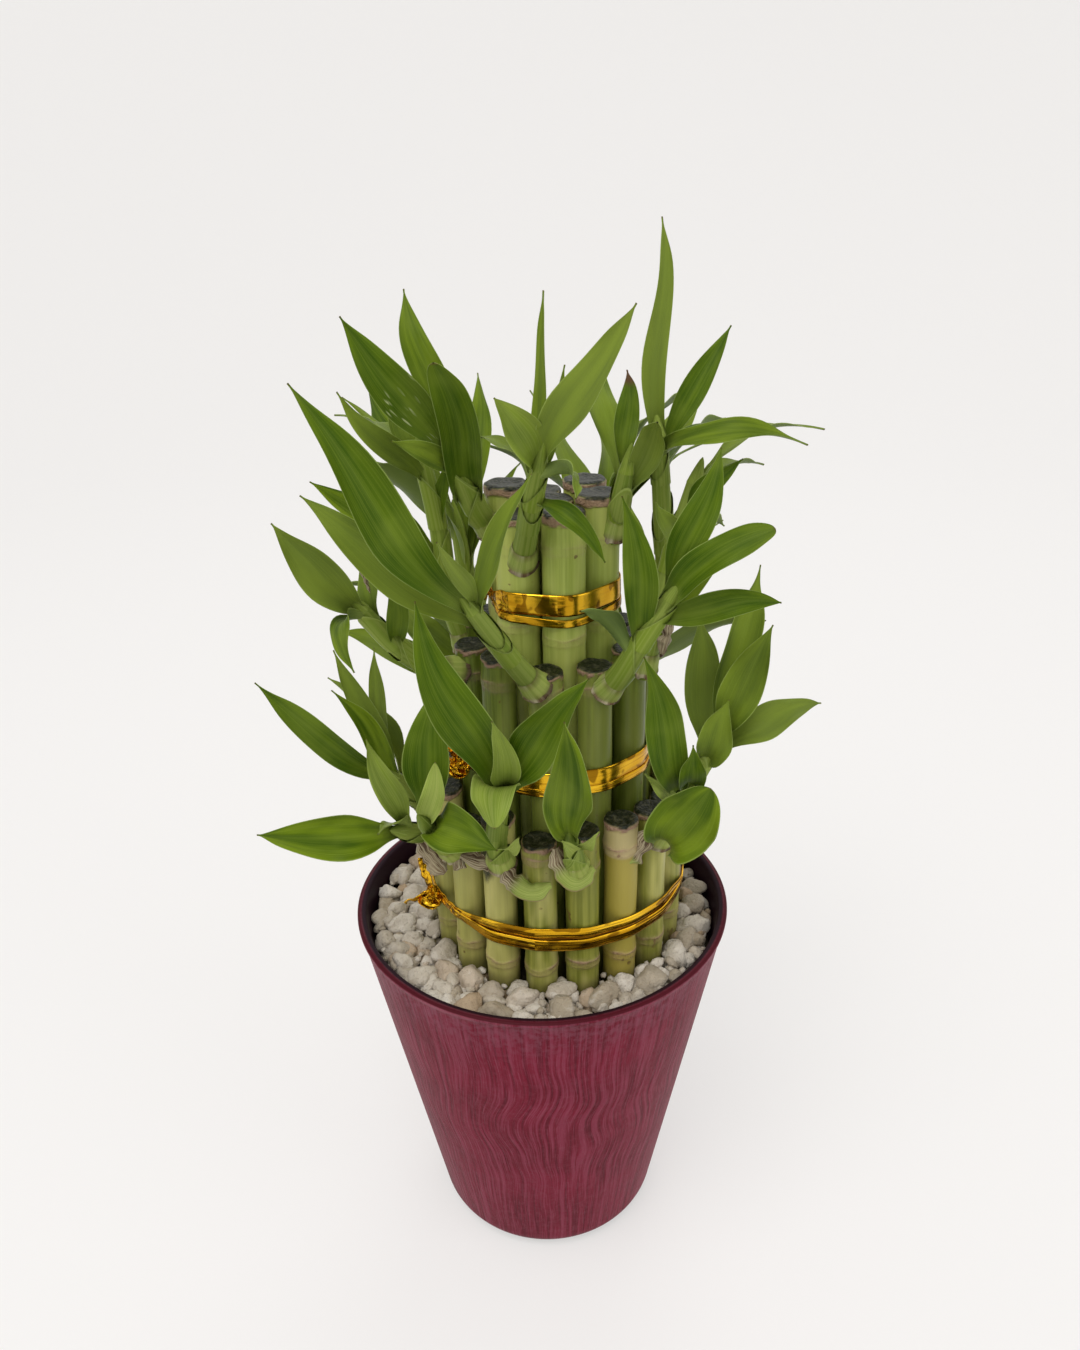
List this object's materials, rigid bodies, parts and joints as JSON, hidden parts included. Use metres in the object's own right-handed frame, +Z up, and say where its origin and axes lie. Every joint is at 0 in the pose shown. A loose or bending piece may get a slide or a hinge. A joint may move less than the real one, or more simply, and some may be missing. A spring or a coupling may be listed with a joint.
{
  "type": "lucky bamboo",
  "caption": "Stepped tiers of upright lucky bamboo canes with leafy shoots, each tier bound by a gilt tie, set in pale pebbles in a tapered burgundy pot.",
  "frame": {"origin": "centre of the flat underside of the pot", "axes": "+Z up along the canes, -Y towards the front that the picture shows, +X to its right"},
  "size_m": [0.1715, 0.1711, 0.3552],
  "materials": {
    "pot": "burgundy moulded plastic with a raised wood-grain relief, semi-gloss, smooth glossy lip",
    "pebbles": "tumbled cream and beige pebbles, matt",
    "cane_lower": "living cane, yellow-green with fine streaks, satin; brown node rings, dark waxed cut end",
    "cane_middle": "living cane, fresh green with fine streaks, satin; brown node rings, dark waxed cut end",
    "cane_upper": "living cane, olive green with fine streaks, satin; brown node rings, dark waxed cut end",
    "tie": "gilt metallised film tape, mirror bright, creased",
    "leaf": "living leaf, mid green, satin, with fine parallel veins and pale edges"
  },
  "bodies": {
    "root": {"pot": "pot", "pebble_bed": "pebbles", "cane_lower_1": "cane_lower", "cane_lower_2": "cane_lower", "cane_lower_3": "cane_lower", "cane_lower_4": "cane_lower", "cane_lower_5": "cane_lower", "cane_lower_6": "cane_lower", "cane_lower_7": "cane_lower", "cane_lower_8": "cane_lower", "cane_lower_9": "cane_lower", "cane_lower_10": "cane_lower", "cane_lower_11": "cane_lower", "cane_lower_12": "cane_lower", "cane_lower_13": "cane_lower", "cane_lower_14": "cane_lower", "cane_lower_15": "cane_lower", "cane_lower_16": "cane_lower", "cane_lower_17": "cane_lower", "cane_lower_18": "cane_lower", "cane_middle_1": "cane_middle", "cane_middle_2": "cane_middle", "cane_middle_3": "cane_middle", "cane_middle_4": "cane_middle", "cane_middle_5": "cane_middle", "cane_middle_6": "cane_middle", "cane_middle_7": "cane_middle", "cane_middle_8": "cane_middle", "cane_middle_9": "cane_middle", "cane_middle_10": "cane_middle", "cane_middle_11": "cane_middle", "cane_upper_1": "cane_upper", "cane_upper_2": "cane_upper", "cane_upper_3": "cane_upper", "cane_upper_4": "cane_upper", "cane_upper_5": "cane_upper", "cane_upper_6": "cane_upper", "cane_upper_middle": "cane_upper", "tie_lower": "tie", "tie_middle": "tie", "tie_upper": "tie", "shoot_upper_left": "leaf", "shoot_upper_front": "leaf", "shoot_upper_right": "leaf", "shoot_middle_left_back": "leaf", "shoot_middle_front": "leaf", "shoot_middle_left": "leaf", "shoot_middle_right": "leaf", "shoot_middle_far_right": "leaf", "shoot_middle_tall": "leaf", "shoot_lower_far_left": "leaf", "shoot_lower_left": "leaf", "shoot_lower_front_left": "leaf", "shoot_lower_front": "leaf", "shoot_lower_middle": "leaf", "shoot_lower_right": "leaf", "shoot_middle_back": "leaf", "shoot_middle_back_far_left": "leaf", "shoot_lower_back_right": "leaf", "shoot_lower_back_left": "leaf"}
  },
  "joints": []
}
